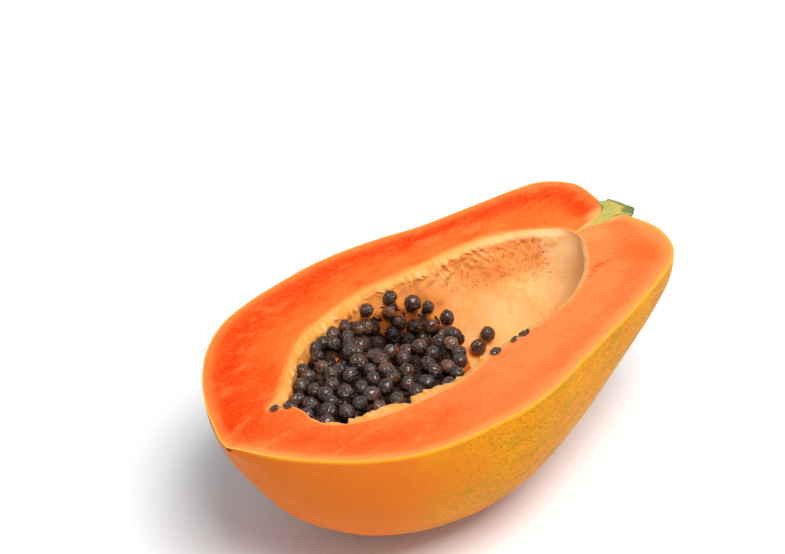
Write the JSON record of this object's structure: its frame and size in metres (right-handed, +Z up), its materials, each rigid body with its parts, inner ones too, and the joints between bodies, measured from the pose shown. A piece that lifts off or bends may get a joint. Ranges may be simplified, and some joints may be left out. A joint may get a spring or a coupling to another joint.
{
  "type": "papaya half",
  "caption": "Ripe papaya cut in half lengthwise, lying on its skin with the cut face up, dark seeds heaped in its hollow and a short stump of stem.",
  "frame": {"origin": "middle of the object's box in plan, on the surface that it lies on", "axes": "+X along the fruit towards the stem, +Y to the left across the cut face seen from the blossom end, +Z up out of the cut face"},
  "size_m": [0.2344, 0.1444, 0.082],
  "materials": {
    "flesh": "moist cut flesh, orange-red, with a thin orange to golden skin outside and a pale yellow-orange lining in the hollow",
    "stem": "fresh green stalk, pale yellow-green where it is cut",
    "seed": "wet near-black brown seed in a wrinkled glossy coat"
  },
  "bodies": {
    "root": {"fruit": "flesh", "stem": "stem", "seeds": "seed", "loose_seed_1": "seed", "loose_seed_2": "seed", "coat_scrap_1": "seed", "coat_scrap_2": "seed", "coat_scrap_3": "seed", "coat_scrap_4": "seed", "coat_scrap_5": "seed"}
  },
  "joints": []
}
